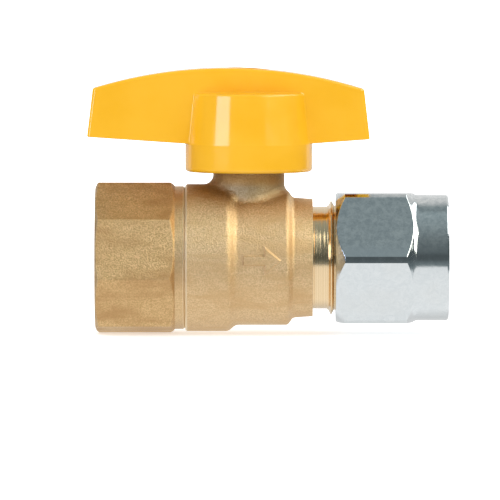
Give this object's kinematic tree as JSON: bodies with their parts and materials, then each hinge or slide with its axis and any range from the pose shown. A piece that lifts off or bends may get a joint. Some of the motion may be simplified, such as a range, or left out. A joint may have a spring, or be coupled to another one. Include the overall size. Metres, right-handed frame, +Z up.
{
  "type": "ball valve",
  "caption": "Quarter-turn gas ball valve with an octagonal female threaded inlet, a flared outlet with its hexagonal nut, and a T-handle.",
  "frame": {"origin": "centre of the ball, where the flow axis crosses the stem axis", "axes": "+X along the flow from the female inlet to the flared outlet, +Z up the stem to the handle, -Y to the front"},
  "size_m": [0.0755, 0.0318, 0.0556],
  "materials": {
    "forged_brass": "grainy forged, satin",
    "machined_brass": "machined, satin",
    "chromed_ball": "polished",
    "ptfe": "matt white",
    "seal_rubber": "matt black",
    "handle_paint": "glossy yellow",
    "zinc_steel": "bright zinc plate"
  },
  "bodies": {
    "housing": {"body": "forged_brass", "end_connector": "machined_brass", "body_o_ring": "seal_rubber", "inlet_seat": "ptfe", "outlet_seat": "ptfe", "inlet_seat_o_ring": "seal_rubber", "outlet_seat_o_ring": "seal_rubber", "stem_thrust_washer": "ptfe"},
    "handle": {"handle": "handle_paint", "handle_screw": "zinc_steel", "lock_washer": "zinc_steel", "stem": "machined_brass", "stem_o_ring_lower": "seal_rubber", "stem_o_ring_upper": "seal_rubber"},
    "ball": {"ball": "chromed_ball"},
    "nut": {"flare_nut": "zinc_steel"}
  },
  "joints": [
    {"name": "handle_turn", "type": "hinge", "parent": "housing", "child": "handle", "pos_m": [0, 0, 0], "axis": [0, 0, -1], "range_deg": [0, 90]},
    {"name": "ball_turn", "type": "hinge", "parent": "housing", "child": "ball", "pos_m": [0, 0, 0], "axis": [0, 0, -1], "range_deg": [0, 90]},
    {"name": "nut_turn", "type": "hinge", "parent": "housing", "child": "nut", "pos_m": [0.03, 0, 0], "axis": [1, 0, 0], "continuous": true}
  ],
  "couplings": [
    {"joint": "ball_turn", "follows": "handle_turn", "ratio": 1}
  ]
}
